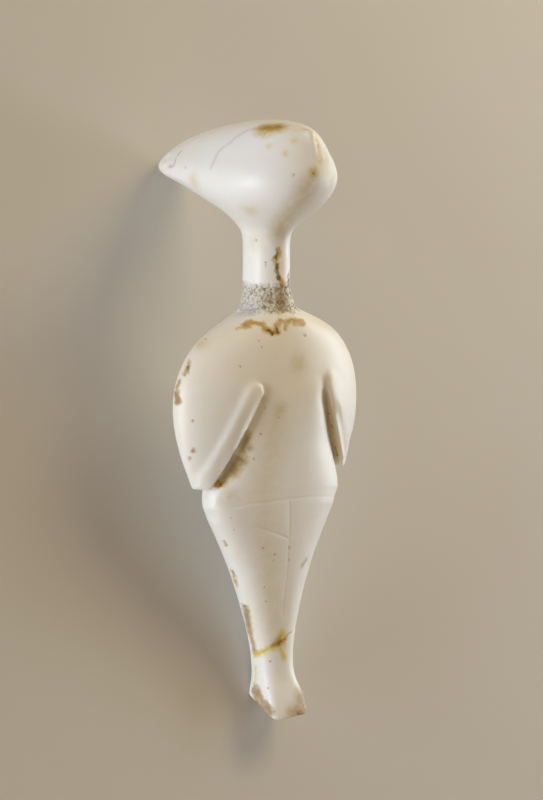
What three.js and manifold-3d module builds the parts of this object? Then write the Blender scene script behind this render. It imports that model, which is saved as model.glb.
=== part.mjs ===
// Standing woman carved from one block of marble, of the Kilia type of western Anatolia: a large
// tear-shaped head tilted back on a thin neck, shoulders and arms as one broad shield, joined
// legs and small sloping feet. She can't stand, so she lies on her back, on crown and heel.
//
// Millimetres. The figure is carved upright along +Y: +X is her left, +Z her front, and y = 0 is the
// tip of her toes. layDown() then tips her back until crown and heel meet the ground, z = 0.
import * as THREE from "three";
import { mergeVertices } from "three/addons/utils/BufferGeometryUtils.js";
import Module from "manifold-3d";

const wasm = await Module();
wasm.setup();

// A station is one level cut through the figure: its height, half width, front, the depth at
// which it is widest, and back. A last number above 2 makes the cut squarer than an ellipse.
const TRUNK = [
  [-4.0, 5.7, 9.8, 2.0, -1.2, 8.0],
  [0.5, 5.7, 8.8, 2.0, -1.5, 8.0],
  [4.5, 5.4, 7.7, 1.9, -1.7, 6.0],
  [8.0, 5.0, 6.4, 1.7, -2.1, 3.2],
  [12.0, 5.2, 5.8, 1.5, -2.6, 2.5],
  [17.0, 5.8, 5.8, 1.3, -3.1, 2.3],
  [26.0, 8.3, 6.2, 0.9, -4.1, 2.2],
  [36.0, 12.1, 7.0, 0.9, -5.2, 2.2],
  [45.0, 16.7, 7.9, 1.2, -6.0, 2.2],
  [52.2, 20.2, 8.3, 1.4, -6.4, 2.3],
  [57.5, 19.3, 8.5, 0.9, -6.3, 2.4],
  [65.0, 16.9, 9.0, 0.0, -6.2, 2.5],
  [73.0, 13.3, 9.8, -0.6, -5.9, 3.4],
  [77.0, 12.3, 10.1, -0.9, -5.6, 3.8],
  [80.5, 17.0, 10.15, -1.0, -5.6, 2.8],
  [84.5, 18.8, 9.6, -1.2, -5.4, 2.4],
  [89.5, 18.2, 8.8, -1.4, -5.2, 2.0],
  [93.5, 12.0, 7.4, -1.4, -5.0, 2.0],
];

const SHIELD = [
  [54.5, 22.6, 5.4, 0.6, -3.4],
  [58.5, 24.2, 6.4, 0.2, -4.2],
  [64.5, 26.7, 8.1, 0.0, -5.3],
  [72.5, 28.2, 9.6, -0.9, -6.2],
  [80.5, 27.5, 10.1, -1.4, -6.6],
  [86.5, 24.6, 9.7, -1.4, -6.6],
  [91.0, 20.2, 8.9, -1.3, -6.4],
  [94.5, 13.5, 7.8, -1.2, -6.2],
  [96.7, 8.0, 6.6, -1.0, -5.9],
  [98.0, 4.2, 5.0, -0.8, -5.2],
];

const NECK_AND_HEAD = [
  [94.4, 7.2, 6.2, -0.6, -5.6],
  [97.8, 6.9, 6.2, -0.5, -6.4],
  [100.0, 6.2, 5.7, -0.4, -6.3],
  [103.0, 5.7, 5.3, -0.4, -6.1],
  [109.0, 5.6, 5.2, -0.4, -6.0],
  [113.6, 5.65, 5.3, -0.4, -6.0],
  [115.4, 6.0, 5.8, -0.3, -6.4],
  [117.6, 7.6, 8.0, 0.2, -8.3],
  [120.2, 10.4, 11.9, 0.8, -11.8],
  [123.0, 12.9, 15.2, 1.4, -19.4],
  [125.6, 14.2, 16.8, 1.8, -28.2],
  [127.4, 14.6, 17.4, 2.0, -35.1],
  [128.9, 14.4, 17.6, 2.0, -36.7],
  [131.0, 13.6, 17.3, 2.0, -34.5],
  [134.0, 11.7, 16.3, 2.0, -29.8],
  [137.0, 9.5, 15.2, 2.2, -22.6],
  [139.3, 7.1, 13.4, 2.6, -13.6],
  [140.7, 4.7, 9.4, 2.6, -5.6],
  [141.3, 1.8, 5.4, 2.6, 0.4],
];

// Facets round each form.
const TRUNK_SIDES = 44;
const SHIELD_SIDES = 56;
const HEAD_SIDES = 52;

// A forearm is a flat bar from elbow to hand; a slot is sunk between it and the trunk.
const ELBOW = { x: 23.2, y: 56.8 };
const HAND = { x: 12.2, y: 79.4 };
const FOREARM = { width: 4.2, rise: 0.9, facets: 8 };
const SLOT = { floor: -1.4, innerX: 5.0, innerDrop: 3.4, overrun: 8.0 };

const NOSE = { top: 139.6, foot: 131.0, reach: 2.3, base: 6.4, crest: 1.5, root: 2.0 };

// Incised lines: the belt, the groin's rise from the middle to each hip, and the cut between the legs.
const LINE = { width: 0.7, depth: 0.4 };
const BELT = { y: 53.6, halfLength: 17.5, dip: 1.0, slant: -1.5 };
const GROIN = { y: 43.9, halfLength: 12.5, rise: 4.6 };
const LEG_LINE_FOOT = 25;

// The sole slopes up from the toes to the heel.
const SOLE = { slope: 25, toe: 7.8 };

// Where she touches the ground, and how much is cut away there for a flat spot.
const CROWN = { y: 128.4, z: -36.9, cut: 1.2 };
const HEEL = { y: 4.6, z: -1.9, cut: 0.4 };

// Half the size of the blocks that cut, well past the figure on every side.
const REACH = 200;

function solidOf(geometry) {
  geometry.deleteAttribute("normal");
  geometry.deleteAttribute("uv");
  const merged = mergeVertices(geometry);
  const vertProperties = new Float32Array(merged.attributes.position.array);
  const triVerts = new Uint32Array(merged.index.array);
  return new wasm.Manifold(new wasm.Mesh({ numProp: 3, vertProperties, triVerts }));
}

// A block that fills everything below y = 0.
function blockBelow() {
  return new THREE.BoxGeometry(2 * REACH, 2 * REACH, 2 * REACH).translate(0, -REACH, 0);
}

// A closed skin: place() turns each point's share of the length, and its place on a circle round
// the axis, into a point of the form.
function skin(sides, rows, place) {
  const geometry = new THREE.CylinderGeometry(1, 1, 1, sides, rows);
  const points = geometry.attributes.position;
  for (let i = 0; i < points.count; i++) {
    points.setXYZ(i, ...place(points.getY(i) + 0.5, points.getX(i), points.getZ(i)));
  }
  return solidOf(geometry);
}

// The level cut at any height, smoothly between the stations.
function cutsOf(stations) {
  const heights = stations.map(([height]) => height);
  const cuts = stations.map(([, halfWidth, front, widest, back, squareness = 2]) => {
    return [halfWidth, front, widest, back, squareness];
  });
  const curve = new THREE.CubicInterpolant(heights, cuts.flat(), cuts[0].length);
  return (y) => Array.from(curve.evaluate(y));
}

const trunkAt = cutsOf(TRUNK);
const shieldAt = cutsOf(SHIELD);
const headAt = cutsOf(NECK_AND_HEAD);

// Two rows of facets from each station to the next.
function loft(stations, sides) {
  const cutAt = cutsOf(stations);
  const steps = stations.length - 1;
  return skin(sides, 2 * steps, (share, across, ahead) => {
    const step = Math.min(Math.floor(share * steps + 1e-6), steps - 1);
    const y = THREE.MathUtils.lerp(stations[step][0], stations[step + 1][0], share * steps - step);
    const [halfWidth, front, widest, back, squareness] = cutAt(y);
    const rounded = (value) => {
      return Math.abs(value) < 1e-6 ? 0 : Math.sign(value) * Math.abs(value) ** (2 / squareness);
    };
    const depth = ahead > 0 ? front - widest : widest - back;
    return [halfWidth * rounded(across), y, widest + depth * rounded(ahead)];
  });
}

// Depth of a form's front surface.
function frontAt(cutAt, x, y) {
  const [halfWidth, front, widest, , squareness] = cutAt(y);
  const inside = Math.max(0, 1 - Math.abs(x / halfWidth) ** squareness);
  return widest + (front - widest) * inside ** (1 / squareness);
}

// A point beside the line of the left forearm: so far outward of it, and so far past the hand.
function besideForearm(outward, pastHand) {
  const along = new THREE.Vector2(HAND.x - ELBOW.x, HAND.y - ELBOW.y).normalize();
  const x = HAND.x + along.y * outward + along.x * pastHand;
  const y = HAND.y - along.x * outward + along.y * pastHand;
  return new THREE.Vector2(x, y);
}

// An outline drawn on her left side, or mirrored for her right, made as deep as the figure.
function extruded(outline, side) {
  const shape = new THREE.Shape(outline.map(({ x, y }) => new THREE.Vector2(side * x, y)));
  return new THREE.ExtrudeGeometry(shape, { depth: REACH, bevelEnabled: false });
}

function forearmOutline() {
  const radius = FOREARM.width / 2;
  const length = Math.hypot(HAND.x - ELBOW.x, HAND.y - ELBOW.y);
  const shares = Array.from({ length: FOREARM.facets + 1 }, (_, i) => i / FOREARM.facets);
  const innerEdge = shares.map((share) => besideForearm(-radius, length * (share - 1)));
  const outerEdge = shares.map((share) => besideForearm(radius, -length * share));
  const fingertips = shares.slice(1, -1).map((share) => {
    const turn = Math.PI * (share - 0.5);
    return besideForearm(radius * Math.sin(turn), radius * Math.cos(turn));
  });
  return [...innerEdge, ...fingertips, ...outerEdge];
}

// The bar's face stands a little proud of the arm all along, and stays within the arm's outline.
function forearm(side) {
  const margin = 0.5;
  const bar = extruded(forearmOutline(), side);
  const points = bar.attributes.position;
  for (let i = 0; i < points.count; i++) {
    const y = points.getY(i);
    const [halfWidth, , widest] = shieldAt(y);
    const x = THREE.MathUtils.clamp(points.getX(i), margin - halfWidth, halfWidth - margin);
    const z = points.getZ(i) > 0 ? frontAt(shieldAt, x, y) + FOREARM.rise : widest;
    points.setXYZ(i, x, y, z);
  }
  return solidOf(bar);
}

function slot(side) {
  const edge = -FOREARM.width / 2;
  const past = ELBOW.y - HAND.y - SLOT.overrun;
  const outline = [
    besideForearm(edge, past),
    besideForearm(edge, 0),
    new THREE.Vector2(SLOT.innerX, HAND.y - SLOT.innerDrop),
    new THREE.Vector2(SLOT.innerX, HAND.y + past),
  ];
  return solidOf(extruded(outline, side).translate(0, 0, SLOT.floor));
}

function shoulders() {
  const elbowCut = solidOf(blockBelow().translate(0, ELBOW.y, 0));
  return loft(SHIELD, SHIELD_SIDES)
    .subtract(slot(1))
    .subtract(slot(-1))
    .add(forearm(1))
    .add(forearm(-1))
    .subtract(elbowCut);
}

// A wedge: its crest runs down the front of the head and sinks into it at the foot.
function nose() {
  const wedge = new THREE.BoxGeometry(1, 1, 1);
  const points = wedge.attributes.position;
  for (let i = 0; i < points.count; i++) {
    const atTop = points.getY(i) > 0;
    const onCrest = points.getZ(i) > 0;
    const y = atTop ? NOSE.top : NOSE.foot;
    const width = (onCrest ? NOSE.crest : NOSE.base) * (atTop ? 1 : 0.5);
    const rise = atTop ? NOSE.reach : 0;
    const z = frontAt(headAt, 0, y) + (onCrest ? rise : -NOSE.root);
    points.setXYZ(i, width * points.getX(i), y, z);
  }
  return solidOf(wedge);
}

// A shallow V-shaped cut that follows a path over the front of the trunk.
function incised(steps, path) {
  return skin(4, steps, (share, across, ahead) => {
    const here = path(share);
    const along = path(share + 0.01).sub(here).normalize();
    const offset = (across * LINE.width) / 2;
    const z = frontAt(trunkAt, here.x, here.y) + ahead * LINE.depth;
    return [here.x + along.y * offset, here.y - along.x * offset, z];
  });
}

function incisedLines() {
  const belt = (share) => {
    const reach = 2 * share - 1;
    return new THREE.Vector2(BELT.halfLength * reach, BELT.y + BELT.slant * reach - BELT.dip * reach ** 2);
  };
  const groin = (side) => (share) => {
    return new THREE.Vector2(side * GROIN.halfLength * share, GROIN.y + GROIN.rise * share);
  };
  const legs = (share) => new THREE.Vector2(0, THREE.MathUtils.lerp(BELT.y, LEG_LINE_FOOT, share));
  return [incised(20, belt), incised(8, groin(1)), incised(8, groin(-1)), incised(12, legs)];
}

function soleCut() {
  const slope = THREE.MathUtils.degToRad(SOLE.slope);
  return solidOf(blockBelow().rotateX(slope).translate(0, 0, SOLE.toe));
}

function carved() {
  const body = loft(TRUNK, TRUNK_SIDES)
    .add(shoulders())
    .add(loft(NECK_AND_HEAD, HEAD_SIDES))
    .add(nose())
    .subtract(soleCut());
  return incisedLines().reduce((solid, line) => solid.subtract(line), body);
}

// The line from crown to heel comes to lie on the ground, and what is below the ground is cut off.
function layDown(solid) {
  const crownZ = CROWN.z + CROWN.cut;
  const heelZ = HEEL.z + HEEL.cut;
  const tilt = Math.atan2(heelZ - crownZ, CROWN.y - HEEL.y);
  const lying = new THREE.Matrix4().makeRotationX(tilt);
  const contact = new THREE.Vector3(0, HEEL.y, heelZ).applyMatrix4(lying);
  lying.premultiply(new THREE.Matrix4().makeTranslation(0, 0, -contact.z));
  const ground = solidOf(blockBelow().rotateX(Math.PI / 2));
  return solid.transform(lying.elements).subtract(ground);
}

// The origin is on the ground, under the middle of the figure's box.
function geometryOf(solid) {
  const { vertProperties, triVerts } = solid.getMesh();
  const geometry = new THREE.BufferGeometry();
  geometry.setAttribute("position", new THREE.BufferAttribute(vertProperties, 3));
  geometry.setIndex(new THREE.BufferAttribute(triVerts, 1));
  geometry.computeBoundingBox();
  const middle = geometry.boundingBox.getCenter(new THREE.Vector3());
  geometry.translate(-middle.x, -middle.y, -geometry.boundingBox.min.z);
  geometry.computeVertexNormals();
  return geometry;
}

const marble = new THREE.MeshStandardMaterial({ color: 0xe9e2d2, roughness: 0.45, metalness: 0 });
const figurine = new THREE.Mesh(geometryOf(layDown(carved())), marble);
figurine.name = "marble_figurine";

const group = new THREE.Group();
group.add(figurine);
export default group;
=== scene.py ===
import math

import bpy
import numpy as np
from mathutils import Matrix, Vector, noise


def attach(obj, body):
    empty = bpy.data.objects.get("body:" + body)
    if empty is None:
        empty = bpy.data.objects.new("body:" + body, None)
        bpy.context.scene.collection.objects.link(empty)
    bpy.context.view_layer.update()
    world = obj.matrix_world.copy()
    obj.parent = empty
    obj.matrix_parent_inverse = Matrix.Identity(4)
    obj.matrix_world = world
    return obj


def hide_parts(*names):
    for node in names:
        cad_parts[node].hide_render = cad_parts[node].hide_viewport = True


# A Kilia type figurine of pale, slightly translucent marble, laid on its back.
#
# Places on the stone are in millimetres on the upright figure: across it from its right hand to
# its left, up from its toes, and forwards from the middle of its legs.

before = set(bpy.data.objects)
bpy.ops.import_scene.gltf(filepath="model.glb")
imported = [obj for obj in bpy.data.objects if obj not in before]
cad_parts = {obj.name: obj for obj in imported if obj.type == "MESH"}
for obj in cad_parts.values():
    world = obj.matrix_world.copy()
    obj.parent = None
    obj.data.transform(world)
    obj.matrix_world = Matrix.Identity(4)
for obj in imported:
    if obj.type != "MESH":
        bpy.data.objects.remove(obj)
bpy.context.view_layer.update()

MM = 0.001
STONE = "marble_figurine"
LEAN = math.radians(15.443)  # how far the upright figure leans back when it is laid down
TOES = np.array((0.0, -68.173, 0.221))  # where the toes lie, mm

VOXEL = 0.28  # mm, the grain of the first roughing out
SMOOTHING_ROUNDS = 60
CRISPNESS_LEVELS = 20
MOST_CRISP = {"arms": 0.9, "nose": 0.5, "feet": 0.9, "tip": 0.95}
MOST_TRIANGLES = 192000

HANDS = (12.2, 79.9)  # across and up: the inner end of a forearm
ELBOWS = (23.2, 57.3)
FOREARM_HALF_WIDTH = 2.1

# Where the solid's own incised lines run. They are rubbed out and cut again, finer.
GUIDE_LINES = (
    [(17.5 * share, 54.05 - 1.5 * share - share ** 2) for share in np.linspace(-1, 1, 9)],
    ((12.5, 48.95), (0.0, 44.35), (-12.5, 48.95)),
    ((0.0, 54.05), (0.0, 25.4)),
)
GUIDE_ROUNDS = 160

# Incised lines, as places across and up on the figure's front.
BELT = ((-19.4, 53.1), (-14.8, 52.9), (-12.4, 53.5), (-7.6, 53.4), (-4.2, 53.4), (-0.7, 53.2),
        (4.5, 53.0))
FAINT_BELT = ((4.5, 53.0), (9.7, 52.3), (15.6, 51.3), (19.0, 50.6))
GROIN_RIGHT = ((-9.4, 47.4), (-6.2, 46.1), (-4.1, 45.4), (-0.4, 43.7))
GROIN_LEFT = ((0.6, 43.7), (3.7, 44.7), (6.8, 46.1), (9.5, 47.6))
LEG_LINE = ((-0.6, 52.4), (0.0, 43.5), (0.1, 36.8), (-0.3, 29.7), (-0.6, 25.0))
INCISED = (  # path, depth mm, half width mm
    (BELT, 0.07, 0.32),
    (FAINT_BELT, 0.03, 0.32),
    (GROIN_RIGHT, 0.10, 0.36),
    (GROIN_LEFT, 0.06, 0.34),
    (LEG_LINE, 0.07, 0.42),
)

BAND = {"foot": 97.3, "top": 103.7}  # the rough strip round the neck, heights

MEND = {"height": 15.2, "rise": 0.43, "forward": 0.36, "across": -5.4, "front": 1.8}

# Small breaks and knocks: place, radius of the hollow and its depth, mm.
KNOCKS = (
    ((-8.0, 131.8, -27.6), 2.6, 0.40),
    ((-10.2, 130.2, -25.6), 3.0, 0.22),
    ((-20.3, 50.2, 2.0), 8.0, 0.25),
    ((-19.6, 56.0, 0.0), 5.0, 0.25),
    ((-25.6, 84.9, 0.0), 1.4, 0.18),
    ((-24.6, 86.9, -0.4), 1.2, 0.15),
    ((-27.3, 80.8, -0.8), 1.6, 0.18),
    ((-27.8, 78.6, -0.3), 1.3, 0.20),
    ((-11.4, 34.5, 0.6), 1.6, 0.22),
    ((-8.3, 26.4, 1.4), 1.5, 0.20),
    ((-7.2, 22.9, 0.9), 1.8, 0.22),
    ((-5.5, 3.5, 2.0), 1.2, 0.25),
    ((-5.6, 2.5, 4.3), 1.0, 0.22),
    ((1.6, 0.4, 8.8), 1.6, 0.22),
)


def upright(points):
    """Points of the lying model in metres, as places on the upright figure."""
    across, along, high = (np.asarray(points) / MM - TOES).T
    return turned_up(np.column_stack((across, along, high)))


def turned_up(directions):
    across, along, high = directions.T
    return np.column_stack((
        across,
        along * math.cos(LEAN) + high * math.sin(LEAN),
        high * math.cos(LEAN) - along * math.sin(LEAN),
    ))


def lying(places):
    """Places on the upright figure, as points of the lying model in metres."""
    return (turned_down(np.asarray(places, dtype=float)) + TOES) * MM


def turned_down(directions):
    across, up, front = directions.T
    return np.column_stack((
        across,
        up * math.cos(LEAN) - front * math.sin(LEAN),
        up * math.sin(LEAN) + front * math.cos(LEAN),
    ))


# ---------------------------------------------------------------- the stone's mesh


def ramp(values, start, end):
    """0 before start and 1 past end, with a smooth rise between them."""
    share = np.clip((values - start) / (end - start), 0, 1)
    return share * share * (3 - 2 * share)


def distance_to(points, path):
    """How far each point is from a line through the path's places."""
    path = np.asarray(path, dtype=float)
    nearest = np.full(len(points), np.inf)
    for start, end in zip(path, path[1:]):
        run = end - start
        share = np.clip((points - start) @ run / (run @ run), 0, 1)
        gap = points - (start + share[:, None] * run)
        nearest = np.minimum(nearest, np.linalg.norm(gap, axis=1))
    return nearest


def waves(points, size, shift=0.0):
    """Smooth noise from -1 to 1 whose swellings are about size mm across."""
    return np.array([
        noise.noise(Vector(point) / size + Vector((shift, shift, shift))) for point in points
    ])


def modify(piece, kind, **settings):
    """Adds a modifier to the piece and applies it."""
    modifier = piece.modifiers.new(kind, kind)
    for name, value in settings.items():
        setattr(modifier, name, value)
    bpy.context.view_layer.objects.active = piece
    bpy.ops.object.modifier_apply(modifier=modifier.name)


def read_points(mesh):
    points = np.empty(len(mesh.vertices) * 3, dtype=np.float32)
    mesh.vertices.foreach_get("co", points)
    return points.reshape(-1, 3).astype(float)


def read_normals(mesh):
    normals = np.empty(len(mesh.vertices) * 3, dtype=np.float32)
    mesh.vertex_normals.foreach_get("vector", normals)
    return normals.reshape(-1, 3).astype(float)


def write_points(mesh, points):
    mesh.vertices.foreach_set("co", points.astype(np.float32).ravel())
    mesh.update()


def roughed_out():
    """The CAD solid as one close, even skin."""
    bpy.ops.object.select_all(action="DESELECT")
    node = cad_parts[STONE]
    piece = node.copy()
    piece.data = node.data.copy()
    piece.parent = None
    piece.matrix_world = Matrix.Identity(4)
    piece.name = piece.data.name = "carved_figurine"
    bpy.context.collection.objects.link(piece)
    piece.select_set(True)
    bpy.context.view_layer.objects.active = piece
    bpy.ops.object.mode_set(mode="EDIT")
    bpy.ops.mesh.select_all(action="SELECT")
    bpy.ops.mesh.remove_doubles(threshold=1e-6)
    bpy.ops.object.mode_set(mode="OBJECT")
    modify(piece, "REMESH", mode="VOXEL", voxel_size=VOXEL * MM)
    return piece


def beside_forearm(places):
    """How far down a forearm from its hand each place lies, and how far inside its inner edge."""
    plan = np.column_stack((np.abs(places[:, 0]), places[:, 1])) - HANDS
    run = np.subtract(ELBOWS, HANDS)
    run = run / np.linalg.norm(run)
    return plan @ run, -(plan @ np.array((-run[1], run[0]))) - FOREARM_HALF_WIDTH


def crispness(places):
    """0 on the broad rounded forms and up to 1 where an edge has to stay sharp."""
    across, up, front = places.T
    plan = np.column_stack((np.abs(across), up))
    arms = 1 - ramp(distance_to(plan, (HANDS, ELBOWS)), 6.0, 9.0)
    arms *= ramp(front, -6.0, -3.0)
    _, inwards = beside_forearm(places)
    left_worn = 0.97 * ramp(-inwards, -0.6, 0.9)
    right_worn = 0.6 * ramp(-inwards, 0.3, 2.2)
    arms *= 1 - np.where(across > 0, left_worn, right_worn) * ramp(up, 58.5, 61.0)
    nose = (1 - ramp(np.abs(across), 2.5, 5.0)) * ramp(up, 127.0, 130.5) * ramp(front, 6.0, 9.0)
    nose *= 1 - ramp(up, 141.0, 142.5)
    feet = 1 - ramp(up, 8.0, 13.0)
    tip = 1 - ramp(distance_to(places, ((0, 129, -37), (0, 129.1, -37))), 3.0, 7.0)
    return np.max((arms * MOST_CRISP["arms"], nose * MOST_CRISP["nose"],
                   feet * MOST_CRISP["feet"], tip * MOST_CRISP["tip"]), axis=0)


def smoothed(piece):
    """Rubs the facets away, and leaves the sharp edges nearly as they are."""
    broad = 1 - crispness(upright(read_points(piece.data)))
    broad = np.rint(broad * CRISPNESS_LEVELS).astype(int)
    group = piece.vertex_groups.new(name="broad")
    for level in range(CRISPNESS_LEVELS + 1):
        members = np.nonzero(broad == level)[0].tolist()
        if members:
            group.add(members, level / CRISPNESS_LEVELS, "REPLACE")
    modify(piece, "SMOOTH", factor=1.0, iterations=4)
    modify(piece, "SMOOTH", factor=1.0, iterations=SMOOTHING_ROUNDS, vertex_group="broad")
    places = upright(read_points(piece.data))
    near = np.min([distance_to(places[:, :2], path) for path in GUIDE_LINES], axis=0)
    down, inwards = beside_forearm(places)
    outer_arm = ramp(-inwards, 2.6, 3.2) * (1 - ramp(-inwards, 7.0, 8.5)) * ramp(down, -1.0, 1.5)
    outer_arm *= (1 - ramp(down, 19.5, 22.0)) * (places[:, 0] > 0)
    near = np.maximum(1 - ramp(near, 1.2, 2.2), outer_arm) * (places[:, 2] > 0)
    group = piece.vertex_groups.new(name="guides")
    group.add(np.nonzero(near > 0.3)[0].tolist(), 1.0, "REPLACE")
    modify(piece, "SMOOTH", factor=1.0, iterations=GUIDE_ROUNDS, vertex_group="guides")
    piece.vertex_groups.clear()


def knocked(places, normals):
    """How deep the rounded hollows that knocks leave go at each place."""
    depth = np.zeros(len(places))
    for at, radius, deepest in KNOCKS:
        nearest = np.argmin(np.linalg.norm(places - at, axis=1))
        gap = np.linalg.norm(places - places[nearest], axis=1)
        reach = math.sqrt(2 * radius * deepest)
        hollow = deepest * np.clip(1 - (gap / reach) ** 2, 0, 1)
        depth = np.maximum(depth, hollow * (normals @ normals[nearest] > 0.4))
    return depth


def incised(places, normals):
    """How deep the cut lines on the front go at each place."""
    depth = np.zeros(len(places))
    front = ramp(normals[:, 2], 0.05, 0.3)
    wobble = 0.12 * waves(places, 3.0, 4.0)
    plan = places[:, :2] + wobble[:, None]
    for path, deepest, half_width in INCISED:
        gap = distance_to(plan, path)
        groove = 1 - ramp(gap, 0.1 * half_width, half_width * 1.3)
        depth = np.maximum(depth, deepest * front * groove)
    return depth


def neck_band(places):
    """How deep the worn, pitted strip at the foot of the neck lies at each place."""
    depth = np.zeros(len(places))
    near = np.nonzero((places[:, 1] > BAND["foot"] - 3) & (places[:, 1] < BAND["top"] + 4)
                      & (np.abs(places[:, 0]) < 12))[0]
    here = places[near]
    edge = 0.9 * waves(here, 3.0, 7.0) + 0.4 * waves(here, 1.1, 2.0)
    inside = ramp(here[:, 1] + edge, BAND["foot"] - 0.4, BAND["foot"] + 0.6)
    top = BAND["top"] + 2.3 * ramp(here[:, 0], 1.2, 3.0)
    inside *= 1 - ramp(here[:, 1] + edge, top - 0.5, top + 0.7)
    coarse = 0.45 + 0.55 * ramp(here[:, 0], -6.0, -2.5)
    worms = 1 - ramp(np.abs(waves(here, 0.85, 11.0)), 0.0, 0.22)
    lumps = waves(here, 1.3, 5.0)
    depth[near] = inside * (0.10 + coarse * (0.24 * worms + 0.12 * lumps))
    return depth


def mend_groove(places):
    """How deep the line of the old break round the shins goes at each place."""
    across, up, front = places.T
    line = (MEND["height"] + MEND["rise"] * (across - MEND["across"])
            + MEND["forward"] * (front - MEND["front"]))
    near = np.nonzero(np.abs(up - line) < 3)[0]
    gap = np.abs(up[near] - line[near] + 0.3 * waves(places[near], 2.2, 9.0))
    depth = np.zeros(len(places))
    depth[near] = 0.08 * (1 - ramp(gap, 0.05, 0.45))
    return depth


def slot_hollows(places, normals):
    """How deep the body is hollowed where the slot at the figure's right runs into it."""
    down, inside = beside_forearm(places)
    faces_front = ramp(normals[:, 2], 0.15, 0.5) * ramp(inside, -0.1, 0.15) * (places[:, 2] > 0)
    shallow = 0.35 * ramp(down, 3.0, 6.0) * (1 - ramp(inside, 0.2, 2.4))
    # at the figure's right, a deep scoop below a step that the tool left, and a crack above it
    right = places[:, 0] < 0
    scoop = ramp(down, 14.0, 14.9) * (1 - ramp(down, 20.0, 23.4))
    scoop = 1.5 * scoop * (1 - ramp(inside - 5.4 + 0.22 * (down - 14.0), -4.6, 0.0))
    above = 0.8 * ramp(down, 8.8, 10.0) * (1 - ramp(down, 12.9, 13.4))
    above = above * (1 - ramp(inside, 0.4, 2.9))
    crack = 0.7 * ramp(down, 9.0, 9.8) * (1 - ramp(down, 14.5, 15.5))
    crack = crack * (1 - ramp(inside, 0.2, 0.7))
    right_hollow = np.maximum(scoop, above) + crack
    return faces_front * np.where(right, np.maximum(shallow, right_hollow), 0.0)


def silted(places, normals):
    """How much the soil in the slot at the figure's left fills it up."""
    gap = distance_to(places, ((11.2, 77.0, 6.6), (15.3, 68.6, 5.4), (19.4, 60.4, 3.4)))
    return 0.7 * (1 - ramp(gap, 0.7, 2.0)) * ramp(normals[:, 2], 0.4, 0.8)


def hand_finish(places):
    """The slight unevenness of a surface rubbed down by hand."""
    return 0.05 * waves(places, 9.0, 3.0) + 0.02 * waves(places, 3.5, 8.0)


def carved(piece):
    mesh = piece.data
    places = upright(read_points(mesh))
    normals = turned_up(read_normals(mesh))
    depth = (knocked(places, normals) + incised(places, normals)
             + neck_band(places) + mend_groove(places)
             + slot_hollows(places, normals) + hand_finish(places)
             - silted(places, normals))
    resting = ramp(read_points(mesh)[:, 2] / MM, 0.1, 1.5)
    points = lying(places - normals * (depth * resting)[:, None])
    points[:, 2] = np.where(points[:, 2] < 0.12 * MM, 0.0, points[:, 2])
    write_points(mesh, points)


def thinned(piece):
    """Fewer triangles where the skin is smooth."""
    triangles = sum(len(face.vertices) - 2 for face in piece.data.polygons)
    modify(piece, "DECIMATE", ratio=min(1.0, MOST_TRIANGLES / triangles),
           use_collapse_triangulate=True)
    points = read_points(piece.data)
    points[:, 2] = np.maximum(points[:, 2], 0.0)
    write_points(piece.data, points)


def figurine():
    piece = roughed_out()
    smoothed(piece)
    carved(piece)
    thinned(piece)
    piece.data.shade_smooth()
    piece.data.materials.clear()
    piece.data.materials.append(weathered_marble())
    return piece


# ---------------------------------------------------------------- finishes


def colour(red, green, blue):
    """An 8 bit display colour as the light it stands for."""
    def light(value):
        value /= 255
        return value / 12.92 if value <= 0.04045 else ((value + 0.055) / 1.055) ** 2.4
    return (light(red), light(green), light(blue), 1.0)


class Socket:
    """One output of a node. Arithmetic on it adds Math nodes."""

    def __init__(self, finish, output):
        self.finish = finish
        self.output = output

    def _maths(self, operation, first, second=0.0):
        return self.finish.add("ShaderNodeMath", {"operation": operation}, {0: first, 1: second})

    def __add__(self, other):
        return self._maths("ADD", self, other)

    __radd__ = __add__

    def __sub__(self, other):
        return self._maths("SUBTRACT", self, other)

    def __rsub__(self, other):
        return self._maths("SUBTRACT", other, self)

    def __mul__(self, other):
        return self._maths("MULTIPLY", self, other)

    __rmul__ = __mul__

    def __abs__(self):
        return self._maths("ABSOLUTE", self)

    def least(self, other):
        return self._maths("MINIMUM", self, other)

    def most(self, other):
        return self._maths("MAXIMUM", self, other)


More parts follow.
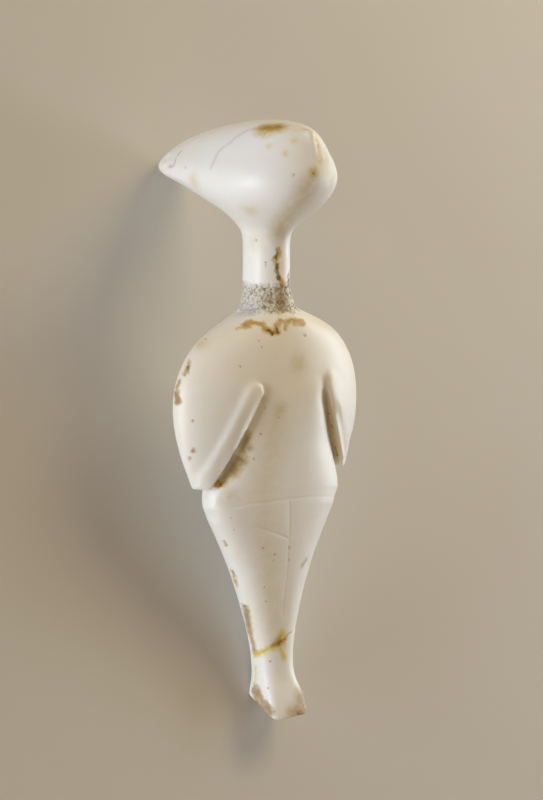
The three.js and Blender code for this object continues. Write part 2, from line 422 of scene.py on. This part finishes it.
class Finish:
    """A material, and the ways that its nodes are added."""

    def __init__(self, name):
        self.material = bpy.data.materials.new(name)
        self.material.use_nodes = True
        self.tree = self.material.node_tree
        self.tree.nodes.clear()

    def add(self, kind, settings=None, sockets=None, output=0):
        node = self.tree.nodes.new(kind)
        for name, value in (settings or {}).items():
            setattr(node, name, value)
        for name, value in (sockets or {}).items():
            if isinstance(value, Socket):
                self.tree.links.new(value.output, node.inputs[name])
            else:
                node.inputs[name].default_value = value
        return None if output is None else Socket(self, node.outputs[output])

    def noise(self, place, scale, detail=2.0, roughness=0.5, output=0):
        return self.add("ShaderNodeTexNoise", {"noise_dimensions": "3D"},
                        {"Vector": place, "Scale": scale, "Detail": detail,
                         "Roughness": roughness}, output)

    def step(self, value, start, end):
        """0 before start and 1 past end, whichever way round they are."""
        return self.add("ShaderNodeMapRange", {"interpolation_type": "SMOOTHSTEP"},
                        {"Value": value, "From Min": start, "From Max": end})

    def mix(self, share, first, second):
        return self.add("ShaderNodeMix", {"data_type": "RGBA"}, {0: share, 6: first, 7: second}, 2)

    def vector(self, operation, first, second=(0, 0, 0), output=0):
        return self.add("ShaderNodeVectorMath", {"operation": operation},
                        {0: first, 1: second}, output)

    def scaled(self, vector, factor):
        return self.add("ShaderNodeVectorMath", {"operation": "SCALE"},
                        {0: vector, "Scale": factor})

    def shaken(self, place, size, amount):
        """The place moved about by noise, which frays whatever is drawn on it."""
        shift = self.vector("SUBTRACT", self.noise(place, 1 / size, output=1), (0.5, 0.5, 0.5))
        return self.vector("ADD", place, self.scaled(shift, amount))

    def dyed(self, amount, skin, tint):
        """The skin seen through a tint that grows denser as the amount does."""
        film = self.add("ShaderNodeGamma", {}, {"Color": tint, "Gamma": amount})
        return self.vector("MULTIPLY", skin, film)

    def reach(self, place, marks):
        """How far the place is outside the nearest of the marks."""
        nearest = None
        for radius, *path in marks:
            if len(path) == 1:
                gap = self.vector("DISTANCE", place, path[0], output=1) - radius
                nearest = gap if nearest is None else nearest.least(gap)
            for start, end in zip(path, path[1:]):
                run = Vector(end) - Vector(start)
                away = self.vector("SUBTRACT", place, start)
                share = self.vector("DOT_PRODUCT", away, run / run.length_squared, output=1)
                along = self.scaled(tuple(run), share.most(0.0).least(1.0))
                gap = self.vector("DISTANCE", away, along, output=1) - radius
                nearest = gap if nearest is None else nearest.least(gap)
        return nearest

    def marked(self, place, marks, softness):
        """1 inside the marks and 0 outside them, with an edge as wide as the softness."""
        return self.step(self.reach(place, marks), softness, -softness)


IVORY = colour(240, 239, 236)
CREAM = colour(234, 221, 194)
GREY = colour(192, 186, 184)
SLATE = colour(112, 104, 106)
PALE_SOIL = colour(206, 194, 168)
UMBER = colour(92, 74, 46)

# Stains, and some marks that are partly painted shade: colour, strength, softness of the edge in
# mm, and the marks. A mark is a radius, then the places that it runs through.
STAINS_AND_PAINTED_SHADE = (
    # soft tints; the first mark, down the front of the face and chin to the neck, is partly
    # yellowish stain and partly painted shade along the dark band where neither lamp reaches
    (colour(208, 186, 142), 0.5, 2.8, (
        (2.0, (-2.8, 127.6, 16.4), (-3.6, 123.6, 13.9), (-3.4, 121.0, 11.4), (-1.3, 116.0, 5.2)),
        (2.2, (3.4, 134.0, 15.6), (4.6, 129.0, 15.0)),
        (1.0, (-13.5, 127.4, -10.9)),
        (0.9, (-10.5, 121.7, 5.3)),
        (0.8, (-5.0, 113.5, 1.8)),
        (1.2, (-17.1, 55.4, 5.4)),
        (1.6, (1.2, 85.5, 9.7)),
        (0.7, (-20.5, 91.2, -0.2)),
        (0.7, (-4.8, 75.3, 9.7)),
    )),
    # a soft, warm honey coloured tint down the belly and thighs
    (colour(220, 200, 158), 0.42, 8.0, (
        (1.0, (-6.0, 72.0, 9.3), (-8.0, 58.0, 8.4), (-7.0, 45.0, 6.8), (-4.5, 30.0, 5.6),
         (-3.0, 22.0, 5.2)),
    )),
    # yellow and olive
    (colour(226, 190, 104), 0.5, 1.0, (
        (0.5, (-4.1, 137.8, 13.6)),
        (0.4, (-8.3, 136.6, 9.8)),
        (0.35, (-6.7, 135.0, 13.3)),
        (0.5, (-5.3, 14.9, 1.2), (-5.0, 16.1, 3.6), (-3.6, 17.1, 4.9)),
        (0.3, (-5.2, 12.1, 1.3), (-5.05, 8.0, 0.95)),
    )),
    (colour(150, 134, 92), 0.6, 1.0, (
        (0.3, (5.2, 35.9, 6.3), (6.7, 37.1, 6.1)),
    )),
    # an olive-brown patch on the front of the foot at the figure's left, partly stain and partly
    # painted shade
    (colour(166, 138, 92), 1.0, 3.4, (
        (1.2, (0.6, 0.4, 8.8), (4.6, 1.2, 8.2), (4.4, 3.6, 7.2)),
    )),
    (colour(232, 194, 84), 0.6, 0.9, (
        (0.35, (-5.4, 15.2, 1.0), (-5.0, 16.1, 3.4), (-3.6, 17.1, 4.9), (-2.6, 17.7, 5.3),
         (-0.8, 18.4, 5.6)),
        (0.9, (-0.9, 18.9, 5.6), (-0.6, 20.2, 5.6)),
        (0.5, (-1.0, 16.8, 5.5), (0.2, 14.2, 5.5)),
    )),
    # ochre soil
    (colour(168, 126, 52), 1.0, 2.4, (
        (1.2, (-6.0, 140.2, 5.4), (-5.4, 140.4, 7.0), (-4.4, 140.7, 8.0)),
        (0.5, (-6.0, 138.8, 7.0)),
        (0.1, (-1.4, 130.6, 17.25)),
        (0.1, (-2.0, 18.0, 5.5), (-0.8, 18.5, 5.6)),
    )),
    (colour(188, 142, 68), 0.75, 0.6, (
        (0.30, (-2.6, 17.7, 5.3), (-0.8, 18.3, 5.6), (0.8, 18.9, 5.65)),
        (0.15, (0.8, 18.9, 5.65), (1.7, 19.8, 5.6), (2.7, 19.9, 5.4)),
        (0.45, (-1.1, 111.9, 4.9), (-1.0, 110.6, 4.9), (-2.0, 109.8, 4.7), (-1.3, 108.0, 4.9)),
        (0.45, (-1.0, 105.3, 5.0), (0.1, 103.4, 5.1)),
        (1.0, (-10.4, 95.0, 4.2), (-9.6, 95.8, 4.2)),
        (0.2, (-12.8, 94.3, 3.4), (-10.4, 94.5, 4.4)),
        (0.55, (-9.4, 95.6, 4.4), (-7.2, 95.3, 6.0), (-7.0, 94.2, 6.9)),
        (0.75, (-7.0, 94.1, 6.9), (-5.6, 93.3, 7.8), (-4.1, 93.5, 7.9), (-4.0, 94.6, 7.5)),
        (0.5, (-4.0, 94.6, 7.5), (-2.6, 95.6, 7.0), (-1.2, 95.0, 7.6), (-1.7, 93.9, 8.0)),
        (0.5, (-1.2, 95.0, 7.6), (1.0, 95.6, 7.2)),
        (0.95, (1.8, 95.1, 7.5), (4.4, 94.5, 7.4)),
    )),
    (colour(238, 214, 166), 0.8, 1.1, (
        (0.9, (0.2, 140.3, 13.4), (0.9, 139.9, 14.8), (1.7, 137.3, 14.9), (1.2, 133.4, 16.3)),
    )),
    (colour(190, 140, 70), 0.8, 0.3, (
        (0.12, (1.0, 139.5, 14.7)), (0.14, (1.5, 138.4, 14.5)), (0.12, (0.9, 137.6, 14.9)),
        (0.14, (1.5, 136.4, 15.3)), (0.12, (0.9, 135.2, 15.8)), (0.3, (-1.4, 130.6, 17.2)),
    )),
    # soil lying in the slots beside the forearms, with painted shade in the slot at the figure's
    # right
    (colour(252, 238, 206), 0.8, 0.9, (
        (1.1, (9.6, 79.0, 7.4), (12.9, 73.7, 5.4), (15.5, 68.4, 4.6), (19.4, 60.4, 3.2)),
    )),
    # in the slot at the figure's right: olive-brown soil, partly painted shade where the hollow
    # lies in shadow
    (colour(172, 142, 90), 0.85, 1.3, (
        (1.2, (-13.6, 64.0, 5.9), (-15.6, 61.4, 5.2)),
        (0.9, (-15.6, 61.4, 5.2), (-17.6, 59.4, 4.2)),
        (0.5, (-12.6, 69.8, 7.0), (-13.4, 66.0, 6.3)),
        (0.3, (-12.0, 66.9, 6.9)),
    )),
    (colour(206, 160, 74), 0.9, 0.4, (
        (1.0, (-18.6, 58.6, 3.2)),
        (0.1, (18.0, 62.8, 3.8), (19.2, 60.6, 3.4)),
    )),
    # brown soil on the edges, shins and foot
    (colour(158, 124, 86), 0.75, 0.6, (
        (0.45, (-24.3, 87.5, -0.4), (-25.0, 86.0, 0.0), (-25.7, 84.9, 0.0)),
        (0.3, (-26.6, 83.0, -1.0), (-27.3, 81.0, -1.1)),
        (0.9, (-27.7, 80.3, -0.8), (-27.9, 78.6, -0.2)),
        (0.6, (-12.0, 36.0, 0.6), (-10.8, 32.7, 0.4)),
        (0.25, (-15.9, 44.2, 2.1), (-15.3, 43.3, 2.2)),
        (0.2, (-25.95, 74.2, 3.0)),
        (0.35, (-25.5, 67.3, 2.7)),
        (0.2, (-25.9, 65.2, 1.8)),
    )),
    (colour(164, 134, 98), 0.75, 0.7, (
        (1.0, (-8.3, 26.9, 1.2), (-7.4, 23.7, 0.8), (-6.6, 20.6, 0.6)),
        (0.6, (-6.4, 20.0, 0.8), (-5.6, 16.2, 1.1)),
        (1.5, (-5.3, 6.2, 1.5), (-5.5, 3.8, 3.2)),
        (1.2, (-5.5, 3.5, 5.0), (-5.5, 2.2, 6.6)),
    )),
    (colour(124, 94, 52), 0.65, 0.35, (
        (0.25, (-1.3, 111.2, 4.9), (-1.9, 109.9, 4.7)),
        (0.42, (-1.3, 108.2, 4.9), (-1.7, 106.9, 4.8), (-1.0, 105.3, 5.0)),
        (0.45, (-6.3, 93.7, 7.4), (-5.6, 93.1, 7.8)),
        (0.35, (-4.1, 94.0, 7.8), (-4.3, 93.3, 7.9)),
        (0.3, (4.0, 91.75, 8.5)),
        (0.2, (-24.6, 86.5, 0.0), (-24.9, 84.2, 0.9)),
        (0.4, (-18.2, 58.3, 3.9), (-17.9, 59.3, 4.3)),
        (0.25, (-14.2, 69.2, 6.6), (-14.0, 67.0, 6.2)),
        (0.12, (-9.1, 90.2, 8.05)), (0.1, (-9.25, 91.7, 7.5)), (0.1, (-8.9, 76.0, 8.9)),
        (0.1, (-5.2, 73.4, 9.5)), (0.25, (-9.7, 69.8, 8.2)), (0.18, (-10.9, 64.1, 7.5)),
        (0.1, (-15.3, 86.3, 7.3)), (0.12, (-19.0, 92.2, -0.2)), (0.1, (-16.3, 50.4, 5.3)),
        (0.12, (-15.2, 47.4, 5.0)), (0.15, (-7.45, 42.3, 6.7)), (0.2, (0.22, 41.3, 7.2)),
        (0.1, (-4.1, 40.3, 7.0)), (0.1, (-4.5, 38.8, 6.8)), (0.12, (0.4, 38.1, 7.0)),
        (0.12, (-6.2, 32.5, 5.5)), (0.1, (-5.4, 28.8, 5.3)), (0.1, (-3.6, 13.8, 4.8)),
        (0.18, (-4.7, 7.5, 5.1)), (0.14, (-5.2, 114.1, 1.6)), (0.12, (-3.8, 109.05, 3.5)),
        (0.18, (-3.8, 108.35, 3.5)), (0.12, (-6.4, 130.1, 15.7)), (0.1, (-12.6, 130.5, -15.0)),
    )),
    # purplish veins and the cracks at the tip of the head
    (colour(168, 146, 142), 0.55, 0.35, (
        (0.22, (-10.6, 130.2, -23.4), (-11.3, 130.4, -20.7), (-9.8, 132.4, -21.5),
         (-8.9, 133.8, -20.8)),
    )),
    (colour(140, 128, 134), 0.65, 0.5, (
        (0.5, (2.2, 105.7, 4.5), (2.8, 103.6, 4.3), (3.4, 101.0, 4.3)),
    )),
    (colour(58, 40, 22), 0.9, 0.22, (
        (0.45, (-14.6, 70.9, 6.6), (-14.9, 69.6, 5.8)),
        (0.15, (-5.6, 93.0, 7.8)),
        (0.2, (13.9, 71.8, 6.6)),
        (0.12, (15.4, 68.5, 5.7), (16.0, 67.9, 5.6)),
        (0.15, (19.2, 60.8, 3.8)),
        (0.18, (-5.55, 3.5, 2.1)),
        (0.14, (-5.6, 2.5, 4.3)),
        (0.2, (-8.6, 27.5, 1.2)),
    )),
)

# Soil caught in the worn strip round the neck, as marks.
BAND_SOIL = (
    (1.0, (0.4, 103.8, 5.1), (-0.8, 97.3, 5.6)),
    (0.6, (-3.8, 100.4, 4.4)),
)

# The vein across the side of the head, as a mark.
VEIN = (0.15, (-6.7, 140.2, 2.4), (-7.3, 139.7, 0.9), (-8.1, 139.0, 0.1), (-9.0, 138.0, -1.0),
        (-9.9, 136.9, -1.7), (-10.6, 135.9, -3.0), (-11.3, 134.9, -4.2), (-11.9, 134.0, -4.6),
        (-12.6, 133.0, -4.5), (-13.5, 131.3, -4.6))


def weathered_marble():
    """Pale translucent marble with the stains, veins and worn strip of long burial, and some
    painted shade among the stains.
    """
    finish = Finish("weathered_marble")
    here = finish.add("ShaderNodeTexCoord", output=3)
    place = finish.add(
        "ShaderNodeMapping", {"vector_type": "POINT"},
        {"Vector": here, "Location": tuple(upright([(0, 0, 0)])[0]),
         "Rotation": (-LEAN, 0, 0), "Scale": (1 / MM, 1 / MM, 1 / MM)})
    frayed = finish.shaken(place, 1.1, 1.3)
    parts = finish.add("ShaderNodeSeparateXYZ", sockets={"Vector": place})
    up = Socket(finish, parts.output.node.outputs[1])
    across = Socket(finish, parts.output.node.outputs[0])

    cloudy = finish.noise(place, 0.06, 3.0)
    mottled = finish.noise(place, 0.5, 4.0, 0.6)
    fine = finish.noise(place, 2.4, 4.0, 0.6)

    # the stone itself: whiter on the head, creamier on the chest
    chest = finish.step(up, 58, 84) * finish.step(up, 104, 92)
    cream = (chest * 0.45 + 0.10) + (cloudy - 0.5) * 0.6 + (mottled - 0.5) * 0.25
    skin = finish.mix(cream.most(0.0).least(1.0), IVORY, CREAM)

    # the worn strip round the neck
    height = up + (finish.noise(place, 0.35, 2.0) - 0.5) * 3.0 + (fine - 0.5) * 2.0
    strip = finish.step(height, BAND["foot"] - 0.7, BAND["foot"] + 0.5)
    leftwards = finish.step(across, -8.0, -4.0)
    top = BAND["top"] + 2.3 * finish.step(across, 1.2, 3.0)
    strip = strip * finish.step(height - top, 1.1, -0.9)
    skin = finish.mix(strip * 0.75, skin, finish.mix(leftwards, GREY, PALE_SOIL))
    worms = finish.step(abs(finish.noise(place, 0.75, 1.5) - 0.5), 0.065, 0.0)
    speckle = strip * worms * (0.3 + 0.7 * leftwards)
    skin = finish.mix(speckle * 0.85, skin, finish.mix(leftwards, SLATE, UMBER))
    soil = strip * finish.marked(frayed, BAND_SOIL, 1.6)
    skin = finish.mix(soil * 0.8, skin, colour(150, 110, 54))

    # a fine purplish vein across the side of the head, and the pale knot at its end
    wavering = finish.shaken(place, 4.0, 0.8)
    vein = finish.marked(wavering, (VEIN,), 1.0) * finish.step(mottled, 0.2, 0.55)
    skin = finish.mix(vein * 0.5, skin, colour(172, 150, 150))
    knot = finish.marked(frayed, ((0.45, (-7.1, 139.9, 2.7)),), 0.4)
    skin = finish.mix(knot * 0.7, skin, colour(232, 222, 224))

    # the masks of the stains and of the painted shade among them, which also make the surface
    # rougher
    stain_and_painted_shade = strip * 0.5
    for tint, strength, softness, marks in STAINS_AND_PAINTED_SHADE:
        mask = finish.marked(frayed, marks, softness) * strength
        patchy = finish.step(fine if softness < 0.5 else mottled, 0.2, 0.6)
        mask = mask * (0.35 + 0.65 * patchy)
        skin = finish.dyed(mask, skin, tint)
        stain_and_painted_shade = stain_and_painted_shade.most(mask)

    rough = 0.42 + (mottled - 0.5) * 0.16 + stain_and_painted_shade * 0.3
    grain = finish.noise(place, 3.0, 3.0, 0.6)
    bump = finish.add("ShaderNodeBump", {}, {
        "Strength": 0.25, "Distance": 0.0001, "Height": grain + strip * fine * 3.0})
    shader = finish.add("ShaderNodeBsdfPrincipled", {"subsurface_method": "RANDOM_WALK"}, {
        "Base Color": skin, "Roughness": rough, "Normal": bump, "IOR": 1.5,
        "Subsurface Weight": 0.35, "Subsurface Radius": (1.0, 0.6, 0.32),
        "Subsurface Scale": 0.003})
    finish.add("ShaderNodeOutputMaterial", {}, {"Surface": shader}, output=None)
    return finish.material


def plain_floor():
    finish = Finish("pale_floor")
    here = finish.add("ShaderNodeTexCoord", output=3)
    cloudy = finish.noise(here, 9.0, 3.0)
    shade = finish.mix(cloudy, colour(205, 200, 192), colour(214, 210, 203))
    shader = finish.add("ShaderNodeBsdfPrincipled", {}, {
        "Base Color": shade, "Roughness": 0.85, "Specular IOR Level": 0.2})
    finish.add("ShaderNodeOutputMaterial", {}, {"Surface": shader}, output=None)
    return finish.material


# ---------------------------------------------------------------- floor, lights and camera


def floor():
    bpy.ops.object.select_all(action="DESELECT")
    bpy.ops.mesh.primitive_plane_add(size=6)
    piece = bpy.context.object
    piece.name = "floor"
    piece.data.materials.append(plain_floor())


def softbox(name, place, size, power, tint):
    """A soft light aimed at the middle of the figurine."""
    light = bpy.data.lights.new(name, "AREA")
    light.shape = "RECTANGLE"
    light.size, light.size_y = size
    light.energy = power
    light.color = tint
    lamp = bpy.data.objects.new(name, light)
    lamp.location = place
    aim = Vector((0, 0, 0.02)) - Vector(place)
    lamp.rotation_euler = aim.to_track_quat("-Z", "Y").to_euler()
    bpy.context.collection.objects.link(lamp)


def studio():
    floor()
    softbox("low_right_light", (-0.798, 0.000, 0.065), (0.60, 0.12), 5.20, (0.78, 0.88, 1.0))
    softbox("low_left_light", (0.776, 0.000, 0.194), (0.60, 0.30), 4.60, (0.72, 0.85, 1.0))
    softbox("foot_fill_light", (-0.463, -0.463, 0.459), (0.45, 0.30), 0.35, (1.0, 0.88, 0.19))
    softbox("head_fill_light", (0.463, 0.463, 0.459), (0.45, 0.30), 2.49, (1.0, 0.88, 0.54))
    world = bpy.data.worlds.new("studio")
    world.use_nodes = True
    background = world.node_tree.nodes["Background"]
    background.inputs["Color"].default_value = (1.0, 0.73, 0.54, 1.0)
    background.inputs["Strength"].default_value = 0.255
    bpy.context.scene.world = world
    bpy.context.scene.view_settings.view_transform = "Standard"


VIEW_ROUND = math.radians(42.0)  # the camera stands this far to the figure's right of its front
VIEW_RAISED = math.radians(9.5)
VIEW_DISTANCE = 650.0  # mm
VIEW_HEIGHT = 75.8  # mm above the toes
VIEW_ASIDE = 0.826  # mm
FRAME_WIDTH, FRAME_HEIGHT = 543, 800
FIGURE_SCALE = 4.235 / FRAME_HEIGHT  # share of the frame's height that 1 mm takes
SENSOR = 36.0  # mm


def camera():
    back = Vector((-math.sin(VIEW_ROUND) * math.cos(VIEW_RAISED), math.sin(VIEW_RAISED),
                   math.cos(VIEW_ROUND) * math.cos(VIEW_RAISED)))
    side = Vector((math.cos(VIEW_ROUND), 0, math.sin(VIEW_ROUND)))
    top = back.cross(side)
    target = Vector((0, VIEW_HEIGHT, 0)) + side * VIEW_ASIDE
    place = lying([target + back * VIEW_DISTANCE])[0]
    axes = turned_down(np.array((side, top, back)))
    turn = Matrix(axes.tolist()).transposed().to_4x4()
    data = bpy.data.cameras.new("camera")
    data.sensor_width = SENSOR
    data.lens = SENSOR * FIGURE_SCALE * VIEW_DISTANCE
    data.clip_start, data.clip_end = 0.01, 20
    lens = bpy.data.objects.new("camera", data)
    lens.matrix_world = Matrix.Translation(place) @ turn
    bpy.context.collection.objects.link(lens)
    bpy.context.scene.camera = lens


camera()
studio()
stone = figurine()
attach(stone, "root")
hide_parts(STONE)
